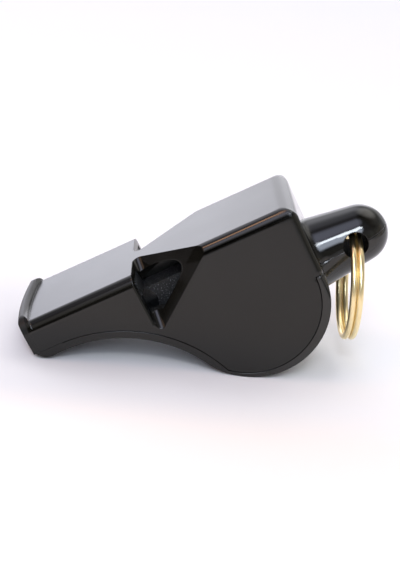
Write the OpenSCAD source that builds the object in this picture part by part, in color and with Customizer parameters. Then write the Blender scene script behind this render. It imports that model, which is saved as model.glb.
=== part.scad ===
// Pealess three-chamber sports whistle, standing on its lip and its round belly.
// Each piece is drawn on the whistle's own axes: x runs from the notches back to
// the lanyard boss, y runs across, and z = 0 is the flat top face. The whistle is
// then tipped until lip and belly both touch the table.

/* [Body] */
// Width across the flat sides
body_w = 20.5; // [19:0.1:23]
// Radius of the round belly
belly_r = 11.7; // [11:0.1:12.6]
// Distance from the notch wall back to the middle of the belly
belly_x = 15; // [14:0.1:17]
// Depth of the belly's middle below the top face
belly_depth = 12.2; // [11.6:0.1:13.5]
// Radius of the arch under the mouthpiece
arch_r = 22; // [20:0.5:25]
// Rounding along the two long top edges
top_edge_r = 1.8; // [1.6:0.1:2.4]
// Rounding of the top rear edge
rear_edge_r = 2.2; // [1:0.1:3]
// Rounding of the two upright rear edges
rear_side_r = 1.15; // [0.5:0.05:1.6]

/* [Mouthpiece] */
// Length from the middle of the lip back to the notch wall
mouth_len = 19.7; // [18:0.1:23]
// Height of the mouthpiece behind the lip
mouth_h = 6.15; // [5.8:0.05:6.8]
// Radius of the bowed front, seen from above
mouth_bow_r = 66; // [50:1:90]
// Thickness of the upper bite rib, front to back
lip_t = 1.7; // [1.2:0.1:2]
// Height of the upper bite rib above the top face
lip_rise = 0.95; // [0.5:0.05:1.3]
// Rounding of the lower lip
low_lip_r = 2.6; // [1.8:0.1:2.8]
// Drop of the lower lip below the mouthpiece
lip_drop = 0.1; // [0.1:0.05:0.6]

/* [Side notches] */
// Length of a notch along the top face
notch_len = 13.2; // [11:0.1:14]
// Depth of a notch down the side
notch_drop = 10.4; // [9:0.1:11]
// Half the width of the neck left between the notches
neck_half = 0.8; // [0.7:0.05:1.4]
// Rounding in the bottom of a notch
notch_r = 1; // [0.5:0.05:1.4]
// Rounding of the notch wall's outer edge
notch_edge_r = 0.45; // [0.2:0.05:0.8]

/* [Walls] */
// Thickness of the top and rear walls
top_wall = 1.2; // [1.1:0.05:1.8]
// Thickness of the side walls
side_wall = 1.55; // [1.3:0.05:1.8]
// Thickness of the sloping notch walls
ramp_wall = 1.2; // [0.9:0.05:1.5]
// Thickness of the belly cover under the mouthpiece
sole_t = 1.25; // [1:0.05:1.5]
// Mean thickness of the belly cover round the belly
cover_t = 0.85; // [0.75:0.05:1.1]
// Width of the parting groove between body and cover
groove = 0.14; // [0.1:0.01:0.25]

/* [Windows and windways] */
// Floor of the side windows below the top face
window_floor = 7; // [6:0.1:7.6]
// Rounding of a side window's upper corners
window_r = 2.7; // [1.5:0.1:2.7]
// Half the width of the solid neck between the side windows
window_in = 2.2; // [1.4:0.1:2.2]
// Depth of the well behind a window's sill
well_deep = 1.8; // [0.8:0.1:2]
// Width of each side windway slot
slot_w = 1; // [0.8:0.05:1.4]
// Height of the middle windway slot
low_slot_h = 1; // [0.8:0.05:1.4]
// Length of the window in the arch
low_window_len = 3.5; // [2.5:0.1:4.2]
// Width of the window in the arch
low_window_w = 6.4; // [5:0.1:7]

/* [Chamber core] */
// Half width of the core's rear box
box_half = 5; // [4.4:0.1:5.6]
// Wall of the core's rear box
box_wall = 1.1; // [0.9:0.05:1.5]
// Depth of the box roof below the top face
box_top = 4; // [3.6:0.1:4.6]
// How far the box runs back from the notch wall
box_len = 19; // [16:0.5:20]
// Radius of the smooth half round beside each window
half_round_r = 2.45; // [1.5:0.05:2.6]

/* [Lanyard boss] */
// Radius of the boss's round end
boss_r = 4.6; // [4.2:0.05:5]
// Distance from the rear face to the middle of the round end
boss_len = 7.1; // [6:0.1:8]
// Slope of the boss's sides in degrees
boss_slope = 8; // [3:0.5:12]
// Diameter of the cross hole for the ring
hole_d = 4; // [3.7:0.05:4.3]
// Distance of the hole behind the rear face
hole_x = 6; // [5.4:0.05:6.6]

/* [Split ring] */
// Mean diameter of the ring
ring_d = 16.9; // [16.4:0.1:18.5]
// Diameter of its round wire
wire_d = 1.04; // [0.9:0.02:1.1]
// Gap between the two turns
turn_gap = 0.06; // [0.04:0.01:0.1]
// Lean of the ring away from the body, in degrees
ring_lean = 3.3; // [0:0.1:4]
// Turn of the hanging ring about the upright, in degrees
ring_turn = 0.2; // [0:0.1:2]

/* [Hidden] */
$fn = 128;

// Fit between the core and the shells, and between the two shells
core_fit = 0.05;
cover_fit = 0.02;
// One overrun serves every cut
over = 2;
// A rounding's circle is a hair larger than the rounding, so it crosses the flats
round_share = 1.002;
// Depth of the parting groove, and of its finer run round the boss
groove_depth = 0.2;
boss_groove = 0.1;
boss_groove_depth = 0.15;
// How far the ends of the upper bite rib stay inside the flat sides
rib_inset = 0.04;
// How much thicker the cover is towards the rear, and in which direction
cover_shift = 0.62;
cover_shift_dir = -20;
// Set back of the core's front end behind the lip
core_set_back = 1.6;
// Depth of the smooth half round, and its middle in front of the notch wall and
// above the window floor
half_round_deep = 0.3;
half_round_back = 1;
half_round_rise = 0.75;
// Width of the well between a window's sill and the core, and its length
well_w = 1.3;
well_len = 3;
// How far the ring has slid behind the middle of the cross hole, and its fit there
ring_back = 0.28;
ring_fit = 0.22;
// Half the thickness of the web between the two upper chambers
web_share = 0.9;
web_half = web_share * neck_half;
// Steps along and round the ring's wire, and the angle of its crossing
ring_steps = 112;
ring_sides = 10;
cross_angle = 32;
cross_place = 66;

// Main places on the axes of the whistle
rear_x = belly_x + belly_r;
belly_z = -belly_depth;
front_x = -mouth_len;
half_w = body_w / 2;
in_half = half_w - side_wall;

// The arch is tangent to the mouthpiece's underside and to the belly.
arch_z = -mouth_h - arch_r;
arch_c = [belly_x - sqrt(pow(arch_r + belly_r, 2) - pow(belly_z - arch_z, 2)), arch_z];
belly_c = [belly_x, belly_z];

// The parting curve follows the arch, and a belly circle set off to the front
seam_z = -(mouth_h - sole_t);
seam_r = belly_r - cover_t;
seam_c = belly_c - cover_shift * [cos(cover_shift_dir), sin(cover_shift_dir)];
seam_arch_r = arch_r + sole_t;
// The flat parting through the boss, at the hole
hole_lift_share = 0.55;
part_z = belly_z + hole_lift_share * cover_t;

// Circle of the lower lip, and the tip that lets it and the belly share the table
low_lip_c = [front_x + low_lip_r, low_lip_r - mouth_h - lip_drop];
tip_run = belly_x - low_lip_c[0];
tip_fall = belly_z - low_lip_c[1];
tip = asin((belly_r - low_lip_r) / norm([tip_run, tip_fall])) - atan2(tip_fall, tip_run);

// Boss and hole
boss_c = [rear_x + boss_len, part_z];
hole_c = [rear_x + hole_x, part_z];

// The ring's wires lie in the bottom of the hole where it comes out of the boss's
// sides, and the ring is lower there than at its top.
exit_half = boss_r / cos(boss_slope) + (boss_len - hole_x) * tan(boss_slope);
wire_side = (wire_d + turn_gap) / 2 + ring_back;
wire_drop = sqrt(pow((hole_d - wire_d) / 2, 2) - pow(wire_side, 2));
ring_sag = ring_d / 2 - sqrt(pow(ring_d / 2, 2) - pow(exit_half, 2));
wire_rise = ring_sag - wire_drop + ring_fit;

// The edge where the sloping notch wall meets the upright one, and the wedge between
edge_turn = 180 - atan2(half_w - neck_half, notch_drop);
slope_n = cross([notch_len, -(half_w - neck_half), 0], [0, -(half_w - neck_half), -notch_drop]);
wedge = acos(abs(slope_n[0]) / norm(slope_n));

// Where the tipped whistle stands: the belly is lowest, lip and boss are outermost
stand_z = belly_r - (sin(tip) * belly_x + cos(tip) * belly_z);
rib_r = lip_t / 2;
high_rib_z = lip_rise - rib_r;
low_end = cos(tip) * (front_x + rib_r) - sin(tip) * high_rib_z - rib_r;
high_end = cos(tip) * boss_c[0] - sin(tip) * boss_c[1] + boss_r;
stand_x = -(low_end + high_end) / 2;

// Sets a piece, drawn on the whistle's own axes, down on the table.
module stand() {
    translate([stand_x, 0, stand_z]) rotate([0, -tip, 0]) children();
}

function stood(p) = [stand_x + cos(tip) * p[0] - sin(tip) * p[1], 0,
                     stand_z + sin(tip) * p[0] + cos(tip) * p[1]];

// Pushes a side view out to both sides.
module across(w) {
    rotate([90, 0, 0]) linear_extrude(w, center = true) children();
}

// Side view of everything above an arch and a belly circle, down to back_z at the rear.
// out carries its top and rear past the body, so that it can serve as a cut.
module side_view(z, ar, bc, br, back_z, out) {
    difference() {
        polygon([[front_x - over, out], [rear_x + out, out], [rear_x + out, bc[1] - br - over],
                 [arch_c[0], bc[1] - br - over], [arch_c[0], z], [front_x - over, z]]);
        translate(arch_c) circle(r = ar);
        difference() {
            polygon([bc, [bc[0] + br, back_z], [rear_x + over, back_z],
                     [rear_x + over, arch_c[1] - over], [arch_c[0], arch_c[1] - over], arch_c]);
            translate(bc) circle(r = br);
        }
        if (out == 0) translate([rear_x - rear_edge_r, -rear_edge_r]) difference() {
            square(rear_edge_r + over);
            circle(r = round_share * rear_edge_r);
        }
    }
}

// The whole outline of the body, without ribs and boss.
module outline() {
    side_view(-mouth_h, arch_r, belly_c, belly_r, belly_z, 0);
}

// The share of it that the upper body takes; grow widens it.
module above_parting(grow, out = 0) {
    side_view(seam_z - grow, seam_arch_r - grow, seam_c, seam_r + grow, part_z - grow, out);
}

// A cross section of half width half, with round top edges, pushed out along the whistle.
module section_bar(half, rise, r) {
    deep = belly_depth + belly_r + over;
    rotate([90, 0, 90]) translate([0, 0, front_x - over])
        linear_extrude(rear_x - front_x + 2 * over) difference() {
            translate([-half, -deep]) square([2 * half, deep + rise]);
            for (s = [-1, 1]) translate([s * (half - r), rise - r]) difference() {
                translate([(s - 1) / 2 * (r + over), 0]) square(r + over);
                circle(r = round_share * r);
            }
        }
}

// The plan: a bowed front, and upright rear edges rounded by r.
module plan_bar(r) {
    deep = belly_depth + belly_r + over;
    translate([0, 0, -deep]) linear_extrude(deep + lip_rise + over) difference() {
        intersection() {
            translate([front_x - over, -half_w]) square([rear_x - front_x + over, body_w]);
            translate([front_x + mouth_bow_r, 0]) circle(r = mouth_bow_r);
        }
        for (s = [-1, 1]) translate([rear_x - r, s * (half_w - r)]) difference() {
            translate([0, (s - 1) / 2 * (r + over)]) square(r + over);
            circle(r = round_share * r);
        }
    }
}

// Turns a side view of the lip, drawn with x = 0 on the front, round with the bowed front.
module round_front() {
    translate([front_x + mouth_bow_r, 0, 0]) rotate_extrude() translate([mouth_bow_r, 0]) children();
}

// Wedge that cuts one notch, on the side of -y, with its bottom rounded.
module notch_cut() {
    far = notch_len + notch_drop;
    touch = notch_r / tan(wedge / 2);
    slope_dir = [sin(wedge), cos(wedge)];
    translate([0, -neck_half, 0]) rotate([edge_turn, 0, 0]) translate([0, 0, -far / 2])
        linear_extrude(2 * far) difference() {
            polygon([[0, 0], [0, far], far * slope_dir]);
            difference() {
                polygon([[-over, touch], [-over, -over], touch * [slope_dir[0], -over / far],
                         touch * slope_dir + over * [cos(wedge), -sin(wedge)],
                         touch * slope_dir, [notch_r, touch]]);
                translate([notch_r, touch]) circle(r = round_share * notch_r);
            }
        }
}

// Everything outside the sloping wall of that notch: what the chamber may not reach.
module ramp_block() {
    far = notch_len + notch_drop;
    slope_dir = [sin(wedge), cos(wedge)];
    translate([0, -neck_half, 0]) rotate([edge_turn, 0, 0]) translate([0, 0, -far])
        linear_extrude(3 * far) translate(ramp_wall * [cos(wedge), -sin(wedge)])
            polygon([-far * slope_dir, [-far, -far * cos(wedge)], [-far, far * cos(wedge)],
                     far * slope_dir]);
}

// Cross section of a side window, pushed through the notch wall, on the side of -y,
// and the well behind its sill.
module window_bar() {
    back_share = 0.6;
    rotate([90, 0, 90]) translate([0, 0, -slot_w]) linear_extrude(slot_w + back_share * notch_len)
        difference() {
            translate([-in_half, -window_floor])
                square([in_half - window_in, window_floor - top_wall]);
            for (s = [-1, 1])
                translate([s < 0 ? window_r - in_half : -window_r - window_in, -top_wall - window_r])
                    difference() {
                        translate([(s - 1) / 2 * (window_r + over), 0]) square(window_r + over);
                        circle(r = round_share * window_r);
                    }
        }
    translate([0, -box_half - core_fit - well_w, -window_floor - well_deep])
        cube([well_len, well_w + core_fit + box_wall, well_deep + window_r]);
}

// Rounds the upright edge between the notch wall and the flat side, on the side of -y.
module notch_edge() {
    deep = notch_drop - 2 * notch_r;
    translate([-notch_edge_r, notch_edge_r - half_w, -deep]) linear_extrude(deep + over) difference() {
        translate([0, -notch_edge_r - over]) square([2 * notch_edge_r, notch_edge_r + over]);
        circle(r = round_share * notch_edge_r);
    }
}

// The two upper chambers, with the web that parts them.
module chambers() {
    deep = belly_depth + belly_r + over;
    difference() {
        intersection() {
            across(2 * in_half) above_parting(cover_fit);
            translate([0, -half_w, -deep]) cube([rear_x - top_wall, body_w, deep - top_wall]);
        }
        for (s = [0, 1]) mirror([0, s, 0]) ramp_block();
        translate([-over, -web_half, -box_top + core_fit]) cube([rear_x + over, 2 * web_half, box_top]);
    }
}

// The hollow of the mouthpiece, and the way down to the window in the arch.
module mouth_hollow() {
    deep = belly_depth + belly_r;
    translate([front_x - over, -in_half, -window_floor])
        cube([mouth_len + over, 2 * in_half, window_floor - top_wall]);
    translate([-low_window_len * 1.5, -box_half - core_fit, -deep])
        cube([low_window_len * 2, 2 * (box_half + core_fit), deep - window_floor + core_fit]);
}

// The boss: a tapering thumb with a round end, turned about the whistle's long axis.
module boss_solid(inset = 0) {
    root = boss_len + top_wall / 2;
    slope_dir = [cos(boss_slope), sin(boss_slope)];
    r = boss_r - inset;
    translate([boss_c[0], 0, boss_c[1]]) rotate([0, 90, 0]) rotate_extrude() difference() {
        polygon([[0, -root], [r / cos(boss_slope) + root * tan(boss_slope), -root],
                 r * slope_dir, [r, r], [0, r]]);
        difference() {
            polygon([[0, 0], [0, r + over], [r + over, r + over], (r + over) * slope_dir]);
            circle(r = r);
        }
    }
}

module hole_cut() {
    translate([hole_c[0], 0, hole_c[1]]) rotate([90, 45, 0])
        cylinder(d = hole_d, h = body_w, center = true);
}

// One half of the boss; s is 1 for the upper half and -1 for the lower one.
module boss_half(s, gap) {
    difference() {
        intersection() {
            boss_solid();
            translate([rear_x - top_wall, -half_w, part_z - gap + (s - 1) / 2 * body_w])
                cube([body_w, body_w, body_w]);
        }
        hole_cut();
    }
}

module upper_body() {
    color([0.16, 0.155, 0.15]) stand() difference() {
        union() {
            intersection() {
                across(body_w + 2 * over) above_parting(0);
                section_bar(half_w, 0, top_edge_r);
                plan_bar(rear_side_r);
            }
            intersection() {
                union() {
                    round_front() translate([-rib_r, high_rib_z]) circle(r = rib_r);
                    round_front() translate([-lip_t, -top_edge_r])
                        square([lip_t, high_rib_z + top_edge_r]);
                }
                section_bar(half_w - rib_inset, lip_rise, top_edge_r + lip_rise);
                translate([front_x - over, -half_w, -top_edge_r])
                    cube([2 * lip_t + over, body_w, body_w]);
            }
            boss_half(1, 0);
        }
        for (s = [0, 1]) mirror([0, s, 0]) {
            notch_cut();
            notch_edge();
            window_bar();
        }
        chambers();
        mouth_hollow();
    }
}

module belly_cover() {
    color([0.17, 0.165, 0.16]) stand() difference() {
        union() {
            difference() {
                intersection() {
                    across(body_w) outline();
                    plan_bar(rear_side_r);
                }
                across(body_w + 2 * over) above_parting(cover_fit, over);
                for (s = [-1, 1]) translate([0, s * half_w, 0])
                    across(2 * groove_depth) above_parting(groove, over);
            }
            intersection() {
                round_front() translate([-low_lip_r, low_lip_c[1]]) circle(r = low_lip_r);
                translate([front_x, -half_w, -mouth_h - low_lip_r])
                    cube([2 * low_lip_r + over, body_w, seam_z - cover_fit + mouth_h + low_lip_r]);
            }
            boss_half(-1, cover_fit);
        }
        // The round front of the lower lip
        round_front() translate([-low_lip_r, low_lip_c[1]]) difference() {
            translate([0, -low_lip_r - over]) square(low_lip_r + over);
            circle(r = round_share * low_lip_r);
        }
        translate([-low_window_len * 1.5, -low_window_w / 2, -belly_depth - belly_r])
            cube([low_window_len, low_window_w, belly_depth + belly_r]);
        // The fine parting groove round the boss
        difference() {
            translate([rear_x, -half_w, part_z - boss_groove]) cube([body_w, body_w, body_w]);
            boss_solid(boss_groove_depth);
        }
    }
}

module chamber_core() {
    block_len = mouth_len - core_set_back;
    box_front = -low_window_len * 1.5 + core_fit;
    deep = belly_depth + belly_r;
    color([0.3, 0.3, 0.31]) stand() difference() {
        union() {
            intersection() {
                across(2 * (in_half - slot_w)) above_parting(-core_fit);
                translate([-block_len, -half_w, -window_floor + core_fit])
                    cube([block_len, body_w, window_floor - top_wall - 2 * core_fit]);
            }
            intersection() {
                across(2 * box_half) above_parting(-core_fit);
                translate([box_front, -half_w, -deep]) cube([box_len - box_front, body_w, deep - box_top]);
            }
        }
        // The middle chamber, open at the arch window
        translate([box_front - over, -box_half + box_wall, -deep])
            cube([box_len - box_wall - box_front + over, 2 * (box_half - box_wall),
                  deep - box_top - box_wall]);
        // The middle windway, close over the cover
        difference() {
            translate([front_x - over, -low_window_w / 2, -deep])
                cube([box_front - front_x + over, low_window_w, deep - top_wall]);
            across(body_w) above_parting(-low_slot_h);
        }
        for (s = [-1, 1]) translate([-half_round_back, s * box_half, half_round_rise - window_floor])
            rotate([90, 0, 0]) linear_extrude(2 * half_round_deep, center = true) difference() {
                circle(r = half_round_r);
                translate([-half_round_r - over, -half_round_r - over])
                    square([half_round_r + over + half_round_back, 2 * (half_round_r + over)]);
            }
    }
}

// Smooth step from 0 to 1, and the sideways place of the wire along its two turns
function ease(x) = x <= 0 ? 0 : x >= 1 ? 1 : x * x * (3 - 2 * x);
function side_of(s) = (ease((s - 360 + cross_angle) / cross_angle) - 0.5) * (wire_d + turn_gap);

// One wire wound twice round, through the hole of the boss.
module split_ring() {
    turn = 720 - cross_angle;
    points = [for (i = [0:ring_steps]) let (s = i / ring_steps * turn, a = cross_place + s)
        for (k = [0:ring_sides - 1]) let (
            b = k * 360 / ring_sides,
            r = ring_d / 2 + wire_d / 2 * cos(b)
        ) [side_of(s) + wire_d / 2 * sin(b), r * sin(a), r * cos(a)]];
    sides = [for (i = [0:ring_steps - 1], k = [0:ring_sides - 1])
        let (p = i * ring_sides, q = (k + 1) % ring_sides)
            [p + k, p + ring_sides + k, p + ring_sides + q, p + q]];
    first = [for (k = [0:ring_sides - 1]) k];
    last = [for (k = [ring_sides - 1:-1:0]) ring_steps * ring_sides + k];
    color([0.85, 0.68, 0.3]) translate(stood(hole_c)) rotate([0, -ring_lean, -ring_turn])
        translate([ring_back, 0, wire_rise - ring_d / 2])
            polyhedron(points, concat(sides, [first, last]), convexity = 4);
}

upper_body();
belly_cover();
chamber_core();
split_ring();
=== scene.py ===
import math
import bmesh
import bpy
from mathutils import Matrix, Vector


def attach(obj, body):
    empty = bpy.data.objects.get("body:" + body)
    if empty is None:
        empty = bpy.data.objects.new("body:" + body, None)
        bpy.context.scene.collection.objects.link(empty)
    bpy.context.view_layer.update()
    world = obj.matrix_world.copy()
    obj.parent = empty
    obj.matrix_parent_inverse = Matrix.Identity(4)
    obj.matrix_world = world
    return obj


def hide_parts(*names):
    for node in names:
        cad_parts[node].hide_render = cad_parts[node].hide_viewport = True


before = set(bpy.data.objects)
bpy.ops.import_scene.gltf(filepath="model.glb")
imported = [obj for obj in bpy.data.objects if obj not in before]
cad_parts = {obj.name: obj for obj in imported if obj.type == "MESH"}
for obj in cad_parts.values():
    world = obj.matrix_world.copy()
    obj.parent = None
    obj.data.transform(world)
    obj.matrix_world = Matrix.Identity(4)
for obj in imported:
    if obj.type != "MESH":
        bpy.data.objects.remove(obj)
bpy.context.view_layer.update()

# The camera stands as the photograph's did: 18 cm in front of the whistle and
# 8 cm above the table, tipped a little to one side.
mm = 0.001
scene = bpy.context.scene
scene.view_settings.view_transform = "Standard"
camera = bpy.data.objects.new("camera", bpy.data.cameras.new("camera"))
scene.collection.objects.link(camera)
scene.camera = camera
camera.location = (-9.847 * mm, -183.996 * mm, 79.225 * mm)
camera.rotation_euler = (math.radians(69.477), math.radians(-5.838), math.radians(-0.817))
camera.data.sensor_fit = "HORIZONTAL"
camera.data.sensor_width = 36
camera.data.lens = 110.77
camera.data.clip_start = 0.01
camera.data.clip_end = 20

# Chamber core: the black insert welded inside, which makes the windways and the
# middle chamber. Its sides are finely textured, apart from a smooth half round
# beside each window, and only they show, through the side notches. The pale
# specks on the texture are painted glints.


class Wire:
    """One output of a material's nodes. Arithmetic on it adds Math nodes."""

    def __init__(self, finish, out):
        self.finish = finish
        self.out = out

    def __add__(self, other):
        return self.finish.maths("ADD", self, other)

    def __sub__(self, other):
        return self.finish.maths("SUBTRACT", self, other)

    def __rsub__(self, other):
        return self.finish.maths("SUBTRACT", other, self)

    def __mul__(self, other):
        return self.finish.maths("MULTIPLY", self, other)

    __radd__ = __add__
    __rmul__ = __mul__


class Finish:
    """A material: a Principled surface, and the nodes that vary it."""

    def __init__(self, name, **plain):
        self.material = bpy.data.materials.new(name)
        self.material.use_nodes = True
        self.tree = self.material.node_tree
        self.surface = next(n for n in self.tree.nodes if n.type == "BSDF_PRINCIPLED")
        for socket, value in plain.items():
            self.surface.inputs[socket].default_value = value

    def node(self, kind, settings=None, sockets=None, out=0):
        """One output of a new node, whose sockets take wires or plain values."""
        made = self.tree.nodes.new("ShaderNode" + kind)
        for name, value in (settings or {}).items():
            setattr(made, name, value)
        for name, value in (sockets or {}).items():
            if isinstance(value, Wire):
                self.tree.links.new(value.out, made.inputs[name])
            else:
                made.inputs[name].default_value = value
        return Wire(self, made.outputs[out])

    def maths(self, operation, *values):
        return self.node("Math", {"operation": operation}, dict(enumerate(values)))

    def parts(self, vector):
        """The x, y and z of a vector."""
        split = self.node("SeparateXYZ", sockets={0: vector}).out.node
        return [Wire(self, out) for out in split.outputs]

    def distance(self, first, second):
        """The straight distance, from the distances along two axes."""
        apart = self.node("CombineXYZ", sockets={0: first, 1: second, 2: 0})
        return self.node("VectorMath", {"operation": "LENGTH"}, {0: apart}, out="Value")

    def noise(self, place, scale, detail, roughness):
        return self.node("TexNoise", sockets={
            "Vector": place, "Scale": scale, "Detail": detail, "Roughness": roughness})

    def band(self, value, low, high):
        """0 below low, 1 above high, and smooth between."""
        return self.node("MapRange", {"interpolation_type": "SMOOTHSTEP"},
                         {"Value": value, "From Min": low, "From Max": high})

    def blend(self, share, first, second):
        """The first colour where share is 0, and the second where it is 1."""
        return self.node("Mix", {"data_type": "RGBA"}, {0: share, 6: first, 7: second}, out=2)

    def feed(self, socket, wire):
        self.tree.links.new(wire.out, self.surface.inputs[socket])


# The whistle's own axes, turned with it as it leans on its lip: length runs from
# the notch wall to the boss, and rise is counted from the flat top.
lean = math.radians(30.8135)
notch_corner_x = -11.2742 * mm
notch_corner_z = 14.4942 * mm


def whistle_axes(finish):
    """A point's place in its object, its length and rise, and how far it is across."""
    here = finish.node("TexCoord", out="Object")
    x, y, z = finish.parts(here)
    x = x - notch_corner_x
    z = z - notch_corner_z
    length = x * math.cos(lean) + z * math.sin(lean)
    rise = z * math.cos(lean) - x * math.sin(lean)
    return here, length, rise, y


def dress(node, finish):
    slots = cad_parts[node].data.materials
    slots.clear()
    slots.append(finish.material)


half_round_r = 2.45 * mm
half_round_length = -1 * mm
half_round_rise = -6.25 * mm

core_black = Finish("textured_black_core", IOR=1.5)
here, length, rise, _ = whistle_axes(core_black)
from_round = core_black.distance(length - half_round_length, rise - half_round_rise)
textured = core_black.band(from_round, half_round_r - 0.03 * mm, half_round_r + 0.05 * mm)
texture_pits_and_painted_glints = core_black.noise(here, scale=5400, detail=1, roughness=0.5)
# Pale grey specks on the textured part: painted glints, not the core's own colour.
core_black.feed("Base Color", core_black.blend(
    core_black.band(texture_pits_and_painted_glints, 0.6, 0.7) * textured, (0.003, 0.0034, 0.0036, 1), (0.15, 0.154, 0.165, 1)))
core_black.feed("Roughness", 0.25 + textured * 0.25)
core_black.feed("Normal", core_black.node("Bump", sockets={
    "Strength": textured * 0.8, "Distance": 0.06 * mm, "Height": texture_pits_and_painted_glints}))
dress("chamber_core", core_black)

# Upper body: the main moulding of black ABS, with the mouthpiece, both notches
# and the upper half of the boss. It is polished on the boss and the rounded top
# edges, and duller on the flats and the lip.
half_width = 10.25 * mm
top_edge_r = 1.8 * mm
groove_depth = 0.2 * mm
lip_back = -18 * mm
rear_face = 26.7 * mm
hole = Vector((22.82, 0, 21.168)) * mm
hole_r = 2 * mm
painted_shade_black = (0.001, 0.001, 0.001, 1)


def top_edges(finish, rise, from_middle):
    """1 on the two long rounded edges of the flat top."""
    flat_half = half_width - top_edge_r
    beside = finish.band(from_middle, flat_half - 0.05 * mm, flat_half + 0.25 * mm)
    return beside * finish.band(rise, -top_edge_r - 0.3 * mm, -top_edge_r)


def hole_walls(finish, here):
    """1 in the boss's cross hole."""
    x, _, z = finish.parts(here)
    from_hole = finish.distance(x - hole.x, z - hole.z)
    return 1 - finish.band(from_hole, hole_r - 0.01 * mm, hole_r + 0.04 * mm)


def seam_floor(finish, length, from_middle):
    """1 on the floor of the seam along the side, behind the notch."""
    floor = half_width - groove_depth
    facing = finish.parts(finish.node("TexCoord", out="Normal"))[1]
    sideways = finish.band(finish.maths("ABSOLUTE", facing), 0.85, 0.95)
    deep = 1 - finish.band(from_middle, floor + 0.05 * mm, floor + 0.15 * mm)
    not_inside = finish.band(from_middle, floor - 0.15 * mm, floor - 0.07 * mm)
    return sideways * deep * not_inside * finish.band(length, 2 * mm, 14 * mm)


def rounded_edges(finish, edge_round, length, rise):
    """Small rounded edges, and wider ones on the upright corners of the rear."""
    sharp = finish.node("Bevel", {"samples": 6}, {"Radius": edge_round})
    soft = finish.node("Bevel", {"samples": 8}, {"Radius": 1.1 * mm})
    near_rear = finish.band(length, rear_face - 4.2 * mm, rear_face - 2.2 * mm)
    before_boss = 1 - finish.band(length, rear_face + 0.9 * mm, rear_face + 1.7 * mm)
    above_cover = finish.band(rise, -13 * mm, -12 * mm)
    return finish.node("Mix", {"data_type": "VECTOR"}, {
        0: near_rear * before_boss * above_cover, 4: sharp, 5: soft}, out=1)


def black_moulding(finish, edge_round, painted_reflection_share):
    """Black ABS with a faint grain, polished and dull places, painted shade in hole and seam, and a painted
    reflection.
    """
    here, length, rise, across = whistle_axes(finish)
    from_middle = finish.maths("ABSOLUTE", across)
    grain = finish.noise(here, scale=2600, detail=3, roughness=0.55)
    cloud = finish.noise(here, scale=120, detail=2, roughness=0.5)
    boss = finish.band(length, rear_face - 0.4 * mm, rear_face - 0.02 * mm)
    polished = finish.maths("MAXIMUM", boss, top_edges(finish, rise, from_middle) * 0.75)
    lip = 1 - finish.band(length, lip_back - 0.1 * mm, lip_back + 0.3 * mm)
    in_hole = hole_walls(finish, here)
    # Painted shade: the hole's walls and the seam's floor are black and metallic, so they reflect nothing.
    painted_shade = finish.maths("MAXIMUM", in_hole, seam_floor(finish, length, from_middle))
    black = finish.blend(finish.band(cloud, 0.35, 0.7), (0.0044, 0.004, 0.003, 1), (0.0058, 0.0053, 0.004, 1))
    # Painted reflection: towards the rear the black is lifted to a paler grey, by the given share.
    tone_with_painted_reflection = finish.blend(finish.band(length, 4 * mm, 20 * mm) * painted_reflection_share, black, (0.06, 0.057, 0.052, 1))
    finish.feed("Base Color", finish.blend(painted_shade, tone_with_painted_reflection, painted_shade_black))
    finish.feed("Metallic", painted_shade)
    finish.feed("Roughness", 0.17 + cloud * 0.08 - polished * 0.14 + in_hole * 0.85 + lip * 0.22)
    finish.feed("Normal", finish.node("Bump", sockets={
        "Strength": 0.012, "Distance": 0.02 * mm, "Height": grain,
        "Normal": rounded_edges(finish, edge_round, length, rise)}))


body_black = Finish("moulded_black_body", IOR=1.46)
black_moulding(body_black, edge_round=0.2 * mm, painted_reflection_share=0)
dress("upper_body", body_black)

# Belly cover: the second black moulding, a curved strip welded on below, whose
# edge shows as the seam along the side, its groove floor painted black as shade.
# It holds the lower half of the boss, and its belly is painted a little paler than
# the body, a painted reflection of the bright table.
cover_black = Finish("moulded_black_cover", IOR=1.46)
black_moulding(cover_black, edge_round=0.12 * mm, painted_reflection_share=0.28)
dress("belly_cover", cover_black)

# Split ring: one brass-plated wire wound twice round, so that a lanyard can be
# threaded on. It hangs in the boss's hole, and its two ends lie beside the jog
# where the wire crosses from one turn to the other.
wire_r = 0.52 * mm
ring_r = 8.45 * mm
turn_pitch = 1.055 * mm
wire_side = 0.28 * mm
wire_lift = 0.49 * mm
ring_turn = math.radians(-0.2)
ring_lean = math.radians(-3.3)
jog_degrees = 32
first_end_degrees = 66
# Each end of the wire is rounded over this far and this angle, and thinner by this share
end_round = 0.25 * mm
end_degrees = 1.7
end_taper = 0.405
end_steps = 4


def add_object(name, work):
    mesh = bpy.data.meshes.new(name)
    work.to_mesh(mesh)
    work.free()
    made = bpy.data.objects.new(name, mesh)
    scene.collection.objects.link(made)
    return made


def ease(share):
    """0 to 1, with a slow start and a slow end."""
    share = min(1, max(0, share))
    return share * share * (3 - 2 * share)


def wire_stations(steps):
    """Each station's angle from the wire's first end, and its share of the full thickness."""
    sweep = 720 - jog_degrees
    rounding = []
    for i in range(end_steps):
        turn = math.pi / 2 * i / end_steps
        angle = end_degrees - math.degrees(end_round * (1 - math.sin(turn)) / ring_r)
        rounding.append((angle, 1 - end_taper * math.cos(turn)))
    even = [(end_degrees + (sweep - 2 * end_degrees) * i / steps, 1) for i in range(steps + 1)]
    return rounding + even + [(sweep - angle, share) for angle, share in reversed(rounding)]


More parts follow.
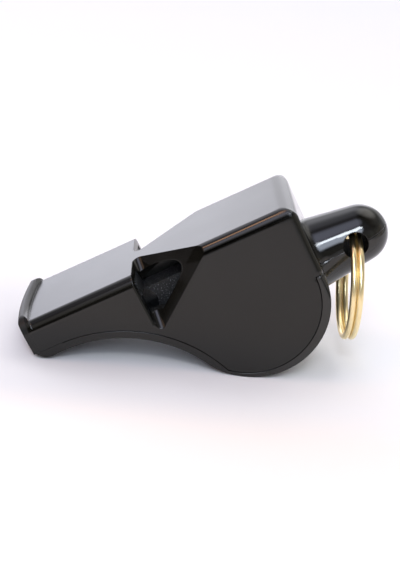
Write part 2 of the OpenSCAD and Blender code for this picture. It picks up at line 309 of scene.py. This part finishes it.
def wound_ring(steps, sides):
    work = bmesh.new()
    hang = Matrix.Translation(hole) @ Matrix.Rotation(ring_turn, 4, "Z")
    hang = hang @ Matrix.Rotation(ring_lean, 4, "Y") @ Matrix.Translation((wire_side, 0, wire_lift - ring_r))
    loops = []
    for angle, share in wire_stations(steps):
        turn = math.radians(first_end_degrees + angle)
        side = (ease((angle - 360 + jog_degrees) / jog_degrees) - 0.5) * turn_pitch
        loop = []
        for k in range(sides):
            around = 2 * math.pi * k / sides
            reach = ring_r + share * wire_r * math.cos(around)
            loop.append(work.verts.new(hang @ Vector((
                side + share * wire_r * math.sin(around), reach * math.sin(turn), reach * math.cos(turn)))))
        loops.append(loop)
    for loop, following in zip(loops, loops[1:]):
        for k in range(sides):
            beyond = (k + 1) % sides
            face = work.faces.new((loop[k], following[k], following[beyond], loop[beyond]))
            face.smooth = True
    work.faces.new(loops[0])
    work.faces.new(list(reversed(loops[-1])))
    bmesh.ops.recalc_face_normals(work, faces=work.faces)
    return add_object("split_ring_wire", work)


ring = wound_ring(steps=360, sides=24)
brass = Finish("gold_plated_wire", Metallic=1.0)
haze = brass.noise(brass.node("TexCoord", out="Object"), scale=700, detail=3, roughness=0.6)
brass.feed("Base Color", brass.blend(brass.band(haze, 0.4, 0.7), (0.95, 0.8, 0.47, 1), (0.91, 0.73, 0.39, 1)))
brass.feed("Roughness", 0.24 + haze * 0.12)
brass.feed("Normal", brass.node("Bump", sockets={"Strength": 0.12, "Distance": 0.02 * mm, "Height": haze}))
ring.data.materials.append(brass.material)
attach(ring, "ring")
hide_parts("split_ring")

# Table and light: the whistle stands on a pale table, with painted shadow grey at the left
# and painted shade grey far in front of the camera. The light comes mostly from high
# behind on the right, from low behind and from a cool window and a lamp in front, with a
# warm lamp at the left.


def table_square(reach):
    work = bmesh.new()
    corners = ((-reach, -reach), (reach, -reach), (reach, reach), (-reach, reach))
    work.faces.new([work.verts.new((x, y, 0)) for x, y in corners])
    return add_object("white_table", work)


table = table_square(reach=6)
paint = Finish("white_table", Roughness=0.8)
along, across, _ = paint.parts(paint.node("TexCoord", out="Object"))
forward = 0 - across
# Painted shadow: the near table is greyer at the left, where the whistle's shadow falls.
beside = paint.blend(paint.band(along, -22 * mm, 16 * mm), (0.73, 0.72, 0.73, 1), (0.87, 0.85, 0.845, 1))
behind = paint.blend(paint.band(across, 8 * mm, 40 * mm), beside, (0.9, 0.884, 0.89, 1))
before = paint.blend(paint.band(forward, 18 * mm, 32 * mm), behind, (0.9, 0.835, 0.79, 1))
# Painted shade: grey far in front, for the dark room beyond the table, mirrored in the whistle's sides.
painted_dark_room_shade = paint.blend(paint.band(forward, 80 * mm, 190 * mm), before, (0.46, 0.45, 0.44, 1))
paint.feed("Base Color", painted_dark_room_shade)
table.data.materials.append(paint.material)


def soft_light(name, place, target, wide, high, radiance, colour):
    lamp = bpy.data.lights.new(name, "AREA")
    lamp.shape = "RECTANGLE"
    lamp.size = wide
    lamp.size_y = high
    lamp.energy = math.pi * wide * high * radiance
    lamp.color = colour
    held = bpy.data.objects.new(name, lamp)
    held.location = place
    held.rotation_euler = (Vector(target) - Vector(place)).to_track_quat("-Z", "Y").to_euler()
    scene.collection.objects.link(held)


soft_light("front_box", place=(-0.018, -0.376, 0.35), target=(0.01, 0, 0.018),
           wide=0.17, high=0.055, radiance=24, colour=(0.92, 0.98, 1.04))
soft_light("warm_lamp", place=(-0.281, -0.065, 0.462), target=(0, 0, 0.018),
           wide=0.12, high=0.12, radiance=7.5, colour=(1.0, 0.56, 0.32))


class Room(Finish):
    """The light that comes from the room: one soft patch for each wall, window or lamp."""

    def __init__(self, name):
        scene.world = bpy.data.worlds.new(name)
        scene.world.use_nodes = True
        self.tree = scene.world.node_tree
        self.surface = self.tree.nodes["Background"]
        self.toward = self.node("TexCoord", out="Generated")
        self.light = None

    def patch(self, height, turn, reach, core, colour):
        """A patch in full strength out to core and gone at reach, all in degrees.

        Turn 0 is behind the camera, and 90 is to the right.
        """
        height, turn = math.radians(height), math.radians(turn)
        aim = (math.cos(height) * math.sin(turn), -math.cos(height) * math.cos(turn), math.sin(height))
        near = self.node("VectorMath", {"operation": "DOT_PRODUCT"}, {0: self.toward, 1: aim}, out="Value")
        share = self.band(near, math.cos(math.radians(reach)), math.cos(math.radians(core)))
        lit = self.node("VectorMath", {"operation": "SCALE"}, {0: colour, "Scale": share})
        if self.light is not None:
            lit = self.node("VectorMath", {"operation": "ADD"}, {0: self.light, 1: lit})
        self.light = lit


room = Room("room")
# Low, all round the table
room.patch(7, 180, 26, 6, (1.63, 1.63, 1.75))
room.patch(7, -148, 26, 6, (1.8, 1.82, 2.04))
room.patch(9, 148, 28, 4, (0.68, 0.68, 0.7))
room.patch(8, 30, 30, 2, (0.3, 0.3, 0.27))
room.patch(8, 60, 30, 2, (0.3, 0.3, 0.27))
room.patch(8, 90, 30, 2, (0.4, 0.36, 0.3))
room.patch(8, 120, 30, 2, (0.19, 0.21, 0.23))
# Half way up, with a warm lamp at the left and a cool window behind the camera
room.patch(26, -74, 15, 4, (1.6, 1.0, 0.65))
room.patch(32, -100, 24, 8, (0.11, 0.11, 0.1))
room.patch(31, -4, 16, 3, (7.0, 7.8, 9.2))
room.patch(36, -42, 24, 2, (0.6, 0.58, 0.56))
room.patch(32, 20, 30, 2, (0.14, 0.14, 0.18))
room.patch(32, 60, 30, 2, (0.14, 0.13, 0.13))
room.patch(34, 180, 32, 4, (0.57, 0.57, 0.61))
room.patch(34, -150, 32, 4, (0.85, 0.85, 0.92))
room.patch(36, 125, 46, 6, (0.34, 0.34, 0.33))
# High, with the main light behind the whistle on the right
room.patch(57, -150, 30, 2, (0.72, 0.74, 0.84))
room.patch(57, -90, 30, 2, (0.32, 0.32, 0.41))
room.patch(55, -33, 24, 3, (2.0, 2.1, 2.7))
room.patch(57, 0, 30, 2, (0.12, 0.13, 0.15))
room.patch(57, 90, 30, 2, (0.2, 0.18, 0.16))
room.patch(63, 145, 31, 1, (1.85, 1.8, 1.72))
room.feed("Color", room.light)
